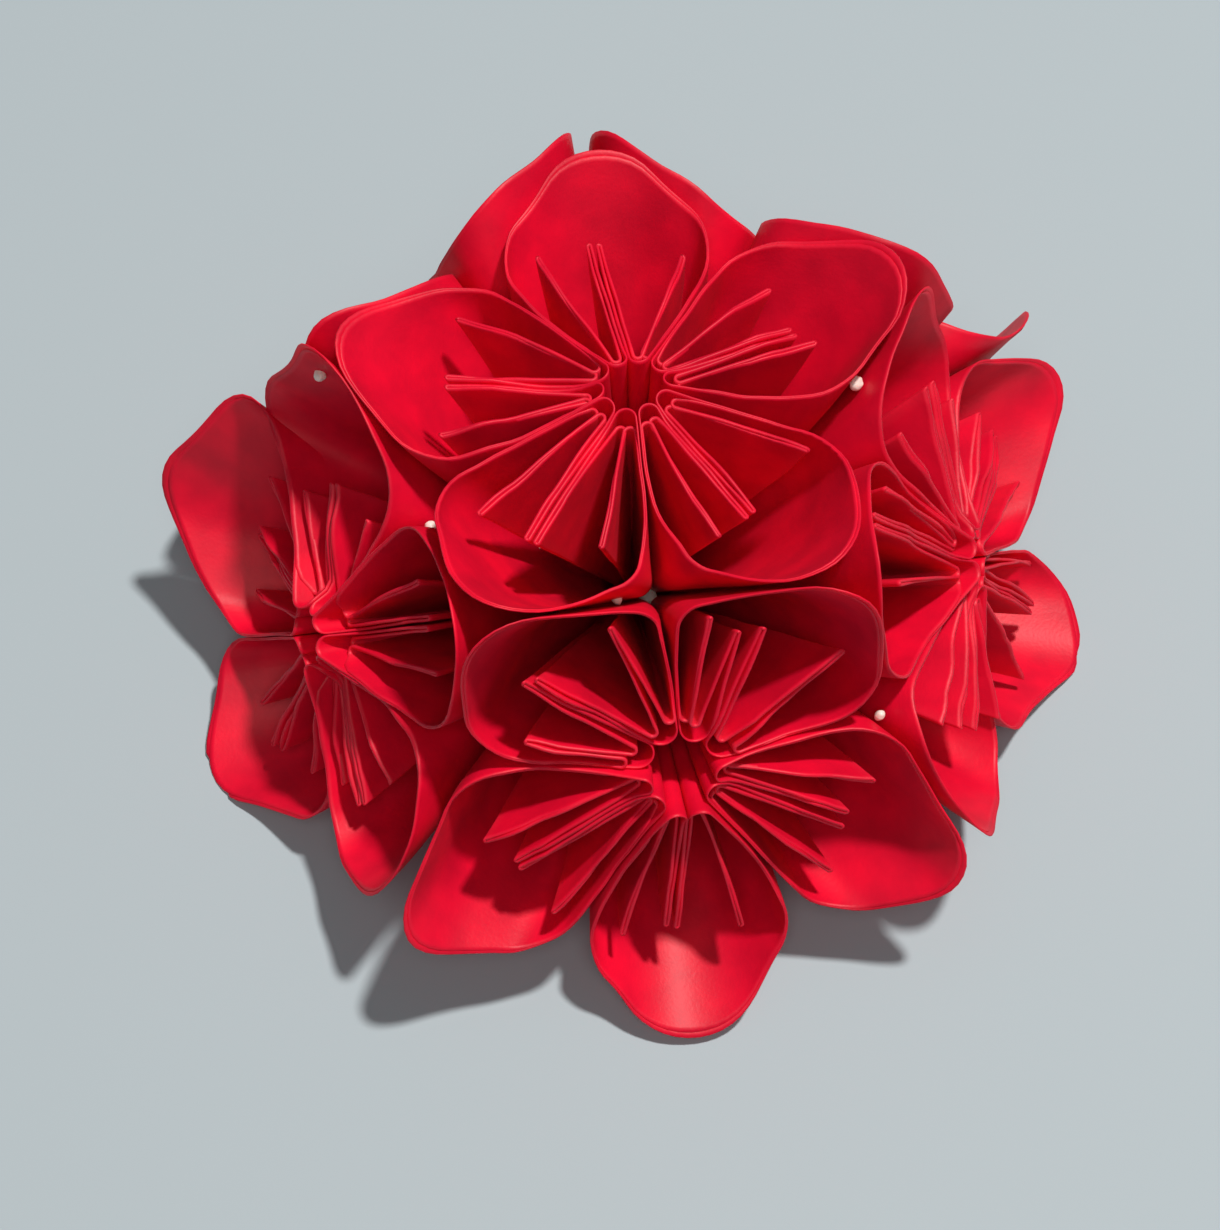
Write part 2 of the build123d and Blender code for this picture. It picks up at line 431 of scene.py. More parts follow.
@dataclass(frozen=True)
class PetalShape:
    """How one petal is folded, and how it differs from a regular one.

    Attributes:
        tip: Share of the regular slope at the tip.
        swing: Turn of the tip to the left, degrees.
        left, right: Shares of the regular slope at the side bends.
        rise: How much longer the petal is at its tip, mm.
        swell: How much less the rim sags, mm.
        pleats: Outer ends of the pleats from left to right, at the height of the flower's middle, mm.
        nose: Radius of the fold at the flower's middle, mm.
        curl: How far the tip rolls up, mm.
        drop: How much lower the pleats are, mm.
        left_bend, right_bend, tip_bend: Shares of the regular radii.
        right_turn: Turn of the right bend to the left, degrees.
        left_flare, right_flare: How far the rim leans into the petal at the side bends, mm.
    """

    tip: float = 1.0
    swing: float = 0.0
    left: float = 1.0
    right: float = 1.0
    rise: float = 0.0
    swell: float = 0.0
    pleats: tuple[tuple[float, float], ...] = ((8.3, 3.4), (9.0, 0.3), (9.0, -0.3), (8.3, -3.4))
    nose: float = 0.55
    curl: float = 0.0
    drop: float = 0.0
    left_bend: float = 0.7
    right_bend: float = 0.7
    tip_bend: float = 1.0
    right_turn: float = 0.0
    left_flare: float = 0.7
    right_flare: float = 0.7


@dataclass(frozen=True)
class RimSizes:
    """How the rim of every sheet runs, in mm where nothing else is said.

    Attributes:
        outer_inset, inner_inset: How far the two walls lie inside the petal's outline.
        seam_gap: Gap between a flap and the petal's middle line, where the flaps are glued.
        sag: How far the rim sags below a straight line from the nose to the tip.
        floor_gap: Least height above the floor.
        flare_width: Width of the stretch that leans into the petal at a side bend.
        flare_aim: Share of the way to the tip at which this stretch aims.
        curl_start: Share of the petal's reach at which a tip starts to roll up.
        curl_up, curl_back: How far a rolled tip goes up and back, as shares of its curl.
        least_steps: Least number of steps round a fold.
        arc_step, run_step: Largest turn, in radians, and distance between two points.
        blend_length: Length over which one height runs into the next.
        wave, wave_counts: Height of the wall's unevenness, and its waves round the petal.
    """

    outer_inset: float = 0.03
    inner_inset: float = 0.192
    seam_gap: float = 0.015
    sag: float = 1.45
    floor_gap: float = 0.08
    flare_width: float = 3.2
    flare_aim: float = 0.6
    curl_start: float = 0.85
    curl_up: float = 0.8
    curl_back: float = 0.7
    least_steps: int = 2
    arc_step: float = radians(16)
    run_step: float = 0.6
    blend_length: float = 0.55
    wave: float = 0.16
    wave_counts: range = range(2, 12)


@dataclass(frozen=True)
class PleatSizes:
    """How the pleats of every sheet are folded, in mm where nothing else is said.

    Attributes:
        depth: How far the pleats' top edge lies below the flower's middle.
        droop, droop_start: How much lower it gets, per square mm, and from what distance on.
        fold_radius: Radius of a pleat's outer end.
        valley_radius: Radius of the valley between two pleats.
        valley_out: How far the valley lies out from the nose.
        valley_aside: Least distance between the valley and the petal's middle line.
        valley_slope, valley_share: Least slope of the way there, and most as a share of the petal's.
        root_radius: Radius of the fold where the inner wall starts.
        root_out: How far this fold lies out from the nose, as a share of the nose's radius.
        fold_wear_and_highlight, valley_wear_and_highlight: How pale an outer end and a valley are
        painted, for wear and a painted highlight, up to 1.
        layers: Thickness of a pleat, in sheets.
        wave, wave_counts: Height of the top edge's unevenness, and its waves round the sheet.
    """

    depth: float = 0.4
    droop: float = 0.007
    droop_start: float = 2.0
    fold_radius: float = 0.17
    valley_radius: float = 0.16
    valley_out: float = 0.35
    valley_aside: float = 0.55
    valley_slope: float = 0.05
    valley_share: float = 0.75
    root_radius: float = 0.2
    root_out: float = 0.95
    # Paler paint at outer ends and valleys: wear, and a painted highlight on the fold edges
    fold_wear_and_highlight: float = 0.15
    valley_wear_and_highlight: float = 0.3
    layers: float = 1.7
    wave: float = 0.5
    wave_counts: range = range(7, 30, 3)


@dataclass(frozen=True)
class SheetRoll:
    """How a sheet is rolled from its rim to the ball's centre.

    Attributes:
        thickness: Thickness of the paper, mm.
        rows: Rows of points from the root to the rim.
        row_spacing: Power by which the rows crowd at the rim.
        root_share: Share of the way to the ball's centre at which the sheet ends.
        lean_start: Share of the way from the ball's centre at which the sheet starts to lean.
        crinkle_height, crinkle_scale: Height of the crinkles at the rim, mm, and how fine they are.
        crinkle_seed: Seed of the crinkles.
        rim_wear_and_highlight, wear_and_highlight_width: How pale the cut edge is painted, for wear and a
        painted highlight, up to 1, and the width of that band, mm.
    """

    thickness: float = 0.08
    rows: int = 14
    row_spacing: float = 1.7
    root_share: float = 0.92
    lean_start: float = 0.7
    crinkle_height: float = 0.55
    crinkle_scale: float = 150.0
    crinkle_seed: float = 3.0
    # Paler paint at the cut edge: wear, and a painted highlight on the rim
    rim_wear_and_highlight: float = 0.05
    wear_and_highlight_width: float = 0.04

    def inputs(self, paper: Material) -> dict[str, object]:
        """Named inputs of the tree that rolls sheets.

        Args:
            paper: Material of the sheet.

        Returns:
            The value of every input.
        """
        return {
            "Rows": self.rows,
            "Row Spacing": self.row_spacing,
            "Ball Centre": tuple(BALL_CENTRE * MM),
            "Root Share": self.root_share,
            "Lean Start": self.lean_start,
            "Thickness": self.thickness * MM,
            "Crinkle Height": self.crinkle_height * MM,
            "Crinkle Scale": self.crinkle_scale,
            "Rim Wear And Highlight": self.rim_wear_and_highlight,
            "Wear And Highlight Width": self.wear_and_highlight_width * MM,
            "Seed": self.crinkle_seed,
            "Paper": paper,
        }


def rolled_sheet() -> Tree:
    """Tree that rolls a sheet from its closed rim down to the ball's centre.

    Returns:
        The tree, which takes the rim as a ring of points with the attributes crease, layers and lean.
    """
    tree = Tree("rolled_sheet", {
        "Rows": Socket.INT,
        "Row Spacing": Socket.FLOAT,
        "Ball Centre": Socket.VECTOR,
        "Root Share": Socket.FLOAT,
        "Lean Start": Socket.FLOAT,
        "Thickness": Socket.FLOAT,
        "Crinkle Height": Socket.FLOAT,
        "Crinkle Scale": Socket.FLOAT,
        "Rim Wear And Highlight": Socket.FLOAT,
        "Wear And Highlight Width": Socket.FLOAT,
        "Seed": Socket.FLOAT,
        "Paper": Socket.MATERIAL,
    })
    given = tree.given
    rim = given["Geometry"]
    centre = given["Ball Centre"]

    size = tree.add("GeometryNodeAttributeDomainSize", {"Geometry": rim})
    around = size.outputs["Point Count"]
    columns = tree.maths("ADD", around, 1.0)
    grid = tree.add("GeometryNodeMeshGrid", {"Vertices X": given["Rows"], "Vertices Y": columns})
    index = tree.add("GeometryNodeInputIndex", {}).outputs[0]
    row = tree.maths("FLOOR", tree.maths("DIVIDE", tree.maths("ADD", index, 0.5), columns))
    column = tree.maths("SUBTRACT", index, tree.maths("MULTIPLY", row, columns))
    place = tree.maths("MODULO", tree.maths("ADD", column, NUDGE), around)
    rows = tree.maths("SUBTRACT", given["Rows"], 1.0)
    below = tree.maths("SUBTRACT", 1.0, tree.maths("DIVIDE", row, rows))
    spaced = tree.maths("POWER", below, given["Row Spacing"])
    depth = tree.maths("MULTIPLY", spaced, given["Root Share"])
    share = tree.maths("SUBTRACT", 1.0, depth)

    def at_rim(kind: str, source: object) -> NodeSocket:
        """Value that the rim has at the column of a point of the grid.

        Args:
            kind: Type of the value.
            source: The value on the rim's own points.

        Returns:
            The value on the grid's points.
        """
        sources = {"Geometry": rim, "Value": source, "Index": place}
        node = tree.add("GeometryNodeSampleIndex", sources, data_type=kind)
        return node.outputs["Value"]

    def named(kind: str, name: str) -> NodeSocket:
        """Attribute of the rim at the column of a point of the grid."""
        source = tree.add("GeometryNodeInputNamedAttribute", {"Name": name}, data_type=kind)
        return at_rim(kind, source.outputs["Attribute"])

    position = tree.add("GeometryNodeInputPosition", {}).outputs[0]
    ray = tree.vectors("SUBTRACT", at_rim("FLOAT_VECTOR", position), centre)
    straight = tree.vectors("ADD", centre, tree.scaled(ray, share))
    leaning = tree.add(
        "ShaderNodeMapRange",
        {"Value": share, "From Min": given["Lean Start"], "From Max": 1.0},
    ).outputs["Result"]
    leant = tree.scaled(named("FLOAT_VECTOR", "lean"), tree.maths("POWER", leaning, 2.0))
    height = tree.maths("MULTIPLY", given["Crinkle Height"], tree.maths("POWER", share, 2.0))
    noise = tree.add("ShaderNodeTexNoise", {
        "Vector": straight,
        "W": given["Seed"],
        "Scale": given["Crinkle Scale"],
        "Detail": NOISE_DETAIL,
    }, noise_dimensions="4D")
    crinkle = tree.push(noise, height)
    moved = tree.vectors("ADD", tree.vectors("ADD", straight, leant), crinkle)
    sheet = tree.add("GeometryNodeSetPosition", {"Geometry": grid.outputs[0], "Position": moved})

    # Pale band at the cut edge and at the folds: wear, and a painted highlight on rims and fold edges
    from_rim = tree.maths("MULTIPLY", depth, tree.vectors("LENGTH", ray).node.outputs["Value"])
    edge = tree.add("ShaderNodeMapRange", {
        "Value": from_rim,
        "From Max": given["Wear And Highlight Width"],
        "To Min": given["Rim Wear And Highlight"],
        "To Max": 0.0,
    }).outputs["Result"]
    wear_and_highlight = tree.maths("MAXIMUM", edge, named("FLOAT", "crease"))
    marked = tree.add(
        "GeometryNodeStoreNamedAttribute",
        {"Geometry": sheet.outputs[0], "Name": "wear_and_highlight", "Value": wear_and_highlight},
        data_type="FLOAT",
    ).outputs[0]
    thick = tree.maths("MULTIPLY", named("FLOAT", "layers"), given["Thickness"])
    measured = tree.add(
        "GeometryNodeStoreNamedAttribute",
        {"Geometry": marked, "Name": "thick", "Value": thick},
        data_type="FLOAT",
    ).outputs[0]
    ring = tree.add("GeometryNodeMergeByDistance", {"Geometry": measured, "Distance": MERGE_DISTANCE})
    depth_of = tree.add("GeometryNodeInputNamedAttribute", {"Name": "thick"}, data_type="FLOAT")
    back = tree.add("GeometryNodeFlipFaces", {"Mesh": ring.outputs[0]}).outputs[0]
    face = tree.add(
        "GeometryNodeExtrudeMesh",
        {"Mesh": ring.outputs[0], "Offset Scale": depth_of.outputs["Attribute"], "Individual": False},
    ).outputs["Mesh"]
    both = tree.add("GeometryNodeJoinGeometry", {"Geometry": back})
    tree.feed(both, {"Geometry": face})
    closed = tree.add(
        "GeometryNodeMergeByDistance",
        {"Geometry": both.outputs[0], "Distance": MERGE_DISTANCE},
    )
    smooth = tree.add("GeometryNodeSetShadeSmooth", {"Geometry": closed.outputs[0]}).outputs[0]
    tree.finish(smooth, given["Paper"])
    return tree


@dataclass
class Petal:
    """One folded sheet, rolled into a petal of a flower.

    Attributes:
        name: Name of the petal's node.
        shape: How it is folded.
        across: Direction from the flower's middle to the petal's tip.
        axis: Direction in which the flower faces.
        slip: Where the flower's middle lies beside its axis, mm.
        seed: Seed of its unevenness.
        rim: How its rim runs.
        pleating: How its pleats are folded.
        roll: How the sheet is rolled.
        points: Rim at the height of the flower's middle, mm.
        heights: Heights of the rim along the flower's axis, mm.
        creases: How pale each point of the rim is painted, for wear and a painted highlight.
        loose: Share of each point of the rim that belongs to a pleat.
    """

    name: str
    shape: PetalShape
    across: np.ndarray
    axis: np.ndarray
    slip: np.ndarray
    seed: int
    rim: RimSizes = RimSizes()
    pleating: PleatSizes = PleatSizes()
    roll: SheetRoll = SheetRoll()
    points: np.ndarray = field(init=False)
    heights: np.ndarray = field(init=False)
    creases: np.ndarray = field(init=False)
    loose: np.ndarray = field(init=False)

    def corners(self) -> tuple[np.ndarray, ...]:
        """Corners of the petal's kite at the height of the flower's middle.

        Returns:
            The flower's middle, the right bend, the tip and the left bend, in mm.
        """
        shape = self.shape
        right = polar(EDGE_SLOPE * shape.right, radians(shape.right_turn) - HALF_STEP) * HINGE
        tip = polar(CORNER_SLOPE * shape.tip, radians(shape.swing)) * HINGE
        left = polar(EDGE_SLOPE * shape.left, HALF_STEP) * HINGE
        return self.slip, right, tip, left

    def wall(self) -> list[tuple[np.ndarray, float]]:
        """Bends of the wall.

        Returns:
            The middle and the radius of the right bend, the tip and the left bend, in mm.
        """
        corners = self.corners()
        shape = self.shape
        found = []
        for place, radius in (
            (1, SIDE_RADIUS * shape.right_bend),
            (2, TIP_RADIUS * shape.tip_bend),
            (3, SIDE_RADIUS * shape.left_bend),
        ):
            back = unit(corners[place - 1] - corners[place])
            on = unit(corners[(place + 1) % len(corners)] - corners[place])
            half = np.arccos(back @ on) / 2
            found.append((corners[place] + unit(back + on) * radius / sin(half), radius))
        return found

    def folds(self) -> list[Fold]:
        """Folds that the sheet passes, once round its rim.

        Returns:
            The folds in order, from the tip of the outer wall by its left side.
        """
        rim, pleating = self.rim, self.pleating
        middle, right, _, left = self.corners()
        to_left, to_right = unit(left - middle), unit(right - middle)
        along = unit(to_left + to_right)
        half = float(np.arccos(to_left @ along))

        def bend(place: tuple[np.ndarray, float], turn: Turn, layer: Layer) -> Fold:
            """Bend of one layer of the wall."""
            inset = rim.outer_inset if layer is Layer.OUTER_WALL else rim.inner_inset
            return Fold(place[0], place[1] - inset, turn, layer, layer)

        def pleat(
            place: np.ndarray, radius: float, turn: Turn, crease: float, after: Layer = Layer.PLEAT
        ) -> Fold:
            """Fold at one end of a pleat."""
            return Fold(place, radius, turn, Layer.PLEAT, after, crease)

        def flap(side: int) -> list[Fold]:
            """Folds of the flap on one side.

            Args:
                side: 1 for the left side and -1 for the right one.

            Returns:
                The folds from the nose to the inner wall.
            """
            across = left_of(along) * side
            first, second = self.shape.pleats[:2] if side > 0 else self.shape.pleats[:1:-1]
            nose = self.shape.nose
            off = nose + rim.seam_gap
            out = (nose + rim.outer_inset + off * cos(half)) / sin(half)
            to_wall = along * cos(half) + across * sin(half)
            inward = along * sin(half) - across * cos(half)
            aim = (np.array(first) + np.array(second)) / 2 - middle
            steepest = pleating.valley_share * tan(half)
            slope = np.clip((aim @ across) / (aim @ along), pleating.valley_slope, steepest)
            valley_out = out + pleating.valley_out
            valley_aside = max(valley_out * slope, pleating.valley_aside)
            valley = middle + along * valley_out + across * valley_aside
            root_out = out + nose * pleating.root_out
            root = middle + to_wall * root_out + inward * (rim.inner_inset + pleating.root_radius)
            return [
                Fold(middle + along * out + across * off, nose, Turn.LEFT, Layer.OUTER_WALL, Layer.PLEAT),
                pleat(np.array(second), pleating.fold_radius, Turn.LEFT, pleating.fold_wear_and_highlight),
                pleat(valley, pleating.valley_radius, Turn.RIGHT, pleating.valley_wear_and_highlight),
                pleat(np.array(first), pleating.fold_radius, Turn.LEFT, pleating.fold_wear_and_highlight),
                pleat(root, pleating.root_radius, Turn.RIGHT, pleating.valley_wear_and_highlight, Layer.INNER_WALL),
            ]

        bends = self.wall()
        outer = [bend(place, Turn.LEFT, Layer.OUTER_WALL) for place in bends]
        inner = [bend(place, Turn.RIGHT, Layer.INNER_WALL) for place in bends[::-1]]
        far = [
            replace(fold, after=Layer.PLEAT if fold.layer is Layer.PLEAT else Layer.OUTER_WALL)
            for fold in flap(-1)[::-1]
        ]
        return [*outer[1:], *flap(1), *inner, *far, outer[0]]

    def trace(self) -> None:
        """Draws the rim as a belt round the folds: points, heights and creases painted pale for wear and
        a painted highlight.
        """
        folds = self.folds()
        runs = [fold.tangent(folds[(place + 1) % len(folds)]) for place, fold in enumerate(folds)]
        points, layers, creases = [], [], []
        for place, fold in enumerate(folds):
            arriving, leaving = runs[place - 1][2], runs[place][2]
            sweep = ((leaving - arriving) * fold.turn.value) % (2 * pi) * fold.turn.value
            by_turn = ceil(abs(sweep) / self.rim.arc_step)
            by_length = ceil(abs(sweep) * fold.radius / self.rim.run_step)
            steps = max(self.rim.least_steps, by_turn, by_length)
            for step in range(steps + 1):
                heading = arriving + sweep * step / steps
                side = left_of(polar(1, heading))
                points.append(fold.middle - side * fold.radius * fold.turn.value)
                layers.append(fold.layer)
                creases.append(fold.crease)
            start, end, _ = runs[place]
            count = ceil(np.linalg.norm(end - start) / self.rim.run_step)
            for step in range(1, count):
                points.append(start + (end - start) * step / count)
                layers.append(fold.after)
                creases.append(0.0)
        self.points = np.array(points)
        self.creases = np.array(creases)
        self.loose = self.blend(np.array([float(layer is Layer.PLEAT) for layer in layers]))
        heights = np.array([self.height(*each) for each in zip(points, layers)])
        self.heights = self.blend(heights) + self.wave()

    def height(self, point: np.ndarray, layer: Layer) -> float:
        """Height of the rim along the flower's axis.

        Args:
            point: Place of the rim at the height of the flower's middle, mm.
            layer: Part of the sheet.

        Returns:
            The height above the ball's centre in mm.
        """
        if layer is Layer.PLEAT:
            beyond = max(np.linalg.norm(point - self.slip) - self.pleating.droop_start, 0)
            top = HINGE - self.pleating.depth - self.shape.drop
            return top - self.pleating.droop * beyond**2
        tip = TIP_POINT + np.array([0.0, self.shape.rise])
        chord = tip - NOSE_POINT
        sag = self.rim.sag - self.shape.swell
        radius = (chord @ chord / 4 + sag * sag) / (2 * sag)
        centre = (NOSE_POINT + tip) / 2 + left_of(unit(chord)) * (radius - sag)
        ray = np.array([point[0] / HINGE, 1.0])
        along = ray @ centre / (ray @ ray)
        reach = along * along - (centre @ centre - radius * radius) / (ray @ ray)
        return along - float(np.sqrt(max(reach, 0.0)))

    def steps(self) -> np.ndarray:
        """Distance of every point of the rim from the one before it."""
        return np.linalg.norm(self.points - np.roll(self.points, 1, axis=0), axis=1)

    def blend(self, heights: np.ndarray) -> np.ndarray:
        """Smooths heights along the rim, so that one layer runs into the next.

        Args:
            heights: A height, or another measure, for every point of the rim.

        Returns:
            The smoothed heights.
        """
        steps = self.steps()
        places = np.cumsum(steps)
        total = places[-1]
        apart = np.abs(places[:, None] - places[None, :])
        apart = np.minimum(apart, total - apart)
        nearness = np.exp(-((apart / self.rim.blend_length) ** 2))
        weights = nearness * (steps + np.roll(steps, -1))[None, :]
        return weights @ heights / weights.sum(axis=1)

    def wave(self) -> np.ndarray:
        """Unevenness of the rim, the same for the same seed.

        Returns:
            A small height for every point of the rim, in mm.
        """
        chance = np.random.default_rng(self.seed)
        steps = self.steps()
        places = 2 * pi * np.cumsum(steps) / steps.sum()
        angles = np.arctan2(self.points[:, 1], self.points[:, 0] - TIP_SLOPE * HINGE / 2)

        def waves(around: np.ndarray, counts: range) -> np.ndarray:
            """Waves that start anywhere and get lower as they get shorter."""
            return sum(np.sin(n * around + chance.uniform(0, 2 * pi)) / n for n in counts)

        wall = self.rim.wave * waves(angles, self.rim.wave_counts)
        return wall + self.pleating.wave * waves(places, self.pleating.wave_counts) * self.loose

    def lean(self, aside: np.ndarray) -> np.ndarray:
        """How far the rim leans from its ray: a tip that rolls up, and side bends that open.

        Args:
            aside: Direction across the petal, to its left.

        Returns:
            A vector in mm for every point of the rim.
        """
        reach = self.points[:, 0] / self.points[:, 0].max()
        rolled = np.clip((reach - self.rim.curl_start) / (1 - self.rim.curl_start), 0, 1) ** 2
        upward = self.axis * self.rim.curl_up - self.across * self.rim.curl_back
        lean = np.outer(rolled * self.shape.curl, upward)
        _, right, tip, left = self.corners()
        for corner, flare in ((right, self.shape.right_flare), (left, self.shape.left_flare)):
            inward = unit(tip * self.rim.flare_aim - corner)
            apart = np.linalg.norm(self.points - corner, axis=1)
            near = flare * np.exp(-((apart / self.rim.flare_width) ** 2))
            lean += np.outer(near, self.across * inward[0] + aside * inward[1])
        return lean

    def build(self, tree: Tree, paper: Material) -> Object:
        """Rolls the sheet and dresses it in paper.

        Args:
            tree: The tree that rolls sheets.
            paper: Material of the sheet.

        Returns:
            The finished petal.
        """
        self.trace()
        aside = np.cross(self.axis, self.across)
        flat = np.outer(self.points[:, 0], self.across) + np.outer(self.points[:, 1], aside)
        rays = flat / HINGE + self.axis
        falling = np.minimum(rays[:, 2], -TINY)
        to_floor = np.where(rays[:, 2] < 0, (self.rim.floor_gap - BALL_HEIGHT) / falling, np.inf)
        heights = self.blend(np.minimum(self.heights, to_floor))
        places = BALL_CENTRE + rays * heights[:, None]

        mesh = bpy.data.meshes.new(self.name)
        count = len(places)
        ring = [(place, (place + 1) % count) for place in range(count)]
        mesh.from_pydata((places * MM).tolist(), ring, [])
        store(mesh, "crease", self.creases)
        store(mesh, "layers", 1 + self.loose * (self.pleating.layers - 1))
        store(mesh, "lean", self.lean(aside) * MM)
        piece = add_object(f"{self.name}_sheet", mesh)
        tree.run(piece, self.roll.inputs(paper))
        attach(piece, BODY)
        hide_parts(self.name)
        return piece


@dataclass
class Flower:
    """Five petals round one axis of the ball.

    Attributes:
        name: Where the flower is on the dome.
        tilt: Angle between its axis and the upright, radians.
        turn: Bearing to which it tilts, degrees.
        shapes: How its petals are folded, the one that points down the dome first.
        slip: Where its middle lies beside its axis, towards the first petal and across it, mm.
        first_seed: Start of its petals' seeds.
        seeds_a_degree: How far apart the seeds of flowers with other bearings are.
    """

    name: str
    tilt: float
    turn: float
    shapes: tuple[PetalShape, ...]
    slip: tuple[float, float] = (0.0, 0.0)
    first_seed: int = 1000
    seeds_a_degree: int = 10

    def axis(self) -> np.ndarray:
        """Direction in which the flower faces."""
        across = polar(sin(self.tilt), radians(self.turn))
        return np.array([across[0], across[1], cos(self.tilt)])

    def petals(self) -> Iterator[Petal]:
        """Petals in order, counter-clockwise from the first one.

        Yields:
            One petal after the other.
        """
        axis = self.axis()
        outward = polar(cos(self.tilt), radians(self.turn))
        first = np.array([outward[0], outward[1], -sin(self.tilt)])
        for index, shape in enumerate(self.shapes):
            step = 2 * HALF_STEP * index
            across = first * cos(step) + np.cross(axis, first) * sin(step)
            back = np.array([[cos(step), sin(step)], [-sin(step), cos(step)]])
            slip = back @ np.array(self.slip)
            seed = self.first_seed + self.seeds_a_degree * round(self.turn) + index
            yield Petal(f"{self.name}_petal_{index + 1}", shape, across, axis, slip, seed)

    def build(self, tree: Tree, paper: Material) -> list[Object]:
        """Builds all petals of the flower."""
        return [petal.build(tree, paper) for petal in self.petals()]


FLOWERS = (
    Flower("top", 0.0, -90 + degrees(HALF_STEP), (
        PetalShape(left=0.95, right=0.96, right_bend=0.38, right_flare=1.6, tip_bend=1.2,
                   pleats=((8.2, 4.0), (8.8, -0.6), (8.8, -1.12), (8.6, -3.1))),
        PetalShape(tip=1.03, right=0.93, right_turn=7, rise=0.2, tip_bend=1.1,
                   pleats=((8.8, 2.7), (8.75, 0.1), (8.75, -0.42), (9.4, -1.35))),
        PetalShape(tip_bend=1.3, pleats=((8.6, 3.7), (9.25, 0.86), (9.25, 0.34), (8.1, -4.1))),
        PetalShape(tip_bend=1.2, pleats=((8.6, 4.3), (8.8, 1.3), (8.85, 0.78), (9.3, -3.3))),
        PetalShape(left=0.98, left_bend=0.38, left_flare=1.3, tip_bend=1.2,
                   pleats=((8.3, 3.2), (9.5, 0.1), (9.5, -0.44), (9.4, -3.2))),
    )),
    Flower("front", RING_TILT, -90, (
        PetalShape(tip=1.03, left=0.92, right=0.92, rise=0.42, tip_bend=1.35,
                   pleats=((8.0, 2.9), (8.0, -0.55), (7.8, -1.15), (7.8, -3.7))),
        PetalShape(tip=1.01, swing=-4, right=1.08, rise=-0.3,
                   pleats=((9.0, 3.0), (8.2, 0.9), (8.4, -0.2), (9.0, -3.3))),
        PetalShape(left_bend=0.38, left_flare=0.5, nose=0.8,
                   pleats=((9.7, 4.9), (9.6, 3.0), (10.3, 2.0), (11.0, -2.0))),
        PetalShape(right_bend=0.38, right_flare=0.5, nose=0.8,
                   pleats=((8.0, 3.2), (10.6, 0.8), (10.3, 0.2), (10.1, -4.2))),
        PetalShape(tip=1.02, swing=3, left=1.04, rise=-0.3,
                   pleats=((8.1, 3.5), (8.6, 0.32), (8.6, -0.22), (9.5, -2.1))),
    ), (-2.2, 0.2)),
    Flower("right", RING_TILT, -18, (
        PetalShape(tip=0.97, swing=9, left=1.25, rise=-0.1,
                   pleats=((10.0, 6.2), (10.4, 3.7), (10.4, 3.15), (10.8, -0.8))),
        PetalShape(right=1.05, rise=0.3, pleats=((8.3, 3.0), (10.3, 0.4), (10.5, -0.15), (10.8, -3.6))),
        PetalShape(tip=0.97, pleats=((8.0, 3.6), (8.9, -0.5), (8.85, -1.9), (7.2, -4.2))),
        PetalShape(pleats=((8.4, 0.6), (10.2, -2.4), (10.2, -2.95), (8.5, -4.3))),
        PetalShape(tip=0.98, swing=-1, left=1.10, tip_bend=1.5,
                   pleats=((7.3, 4.9), (8.4, 2.1), (8.7, 0.6), (9.0, -2.1))),
    ), (0.6, 0.35)),
    Flower("back_right", RING_TILT, 54, (
        PetalShape(),
        PetalShape(),
        PetalShape(tip=0.97, rise=0.2, swell=0.5),
        PetalShape(tip=0.95, rise=0.5, swell=0.8),
        PetalShape(tip=0.95, rise=1.0, swell=0.5, curl=1.7, tip_bend=1.5),
    )),
    Flower("back_left", RING_TILT, 126, (
        PetalShape(),
        PetalShape(tip=0.91, left=0.9, left_flare=1.5, rise=1.0, swell=0.4, tip_bend=1.5),
        PetalShape(right=0.9, right_flare=1.5, rise=0.2),
        PetalShape(tip=0.92, rise=0.4, swell=1.2),
        PetalShape(),
    )),
    Flower("left", RING_TILT, 198, (
        PetalShape(tip=1.03, swing=-7, right=1.06, right_flare=-0.4, rise=-0.5, tip_bend=1.2, drop=0.8,
                   pleats=((8.7, 3.1), (10.5, 0.0), (10.6, -0.55), (9.9, -2.8))),
        PetalShape(swing=-2, left=0.88, tip_bend=1.45, drop=0.8,
                   pleats=((8.4, 0.0), (8.6, -2.8), (8.5, -3.35), (7.0, -4.3))),
        PetalShape(tip=0.95, left=0.94, right=0.97, drop=0.8,
                   pleats=((8.0, 2.4), (8.7, 0.5), (8.6, -0.04), (8.7, -2.6))),
        PetalShape(swing=-3, left=1.12, left_flare=-1.2, right=0.92, drop=0.8,
                   pleats=((6.6, 4.0), (7.7, 1.4), (7.8, 0.85), (6.6, -2.3))),
        PetalShape(tip=0.99, swing=1, left=1.09, right=1.2, right_flare=-1.2, tip_bend=1.4, drop=0.8,
                   pleats=((9.5, 3.8), (9.7, 0.1), (9.6, -0.44), (9.4, -3.6))),
    ), (0.5, -0.5)),
)


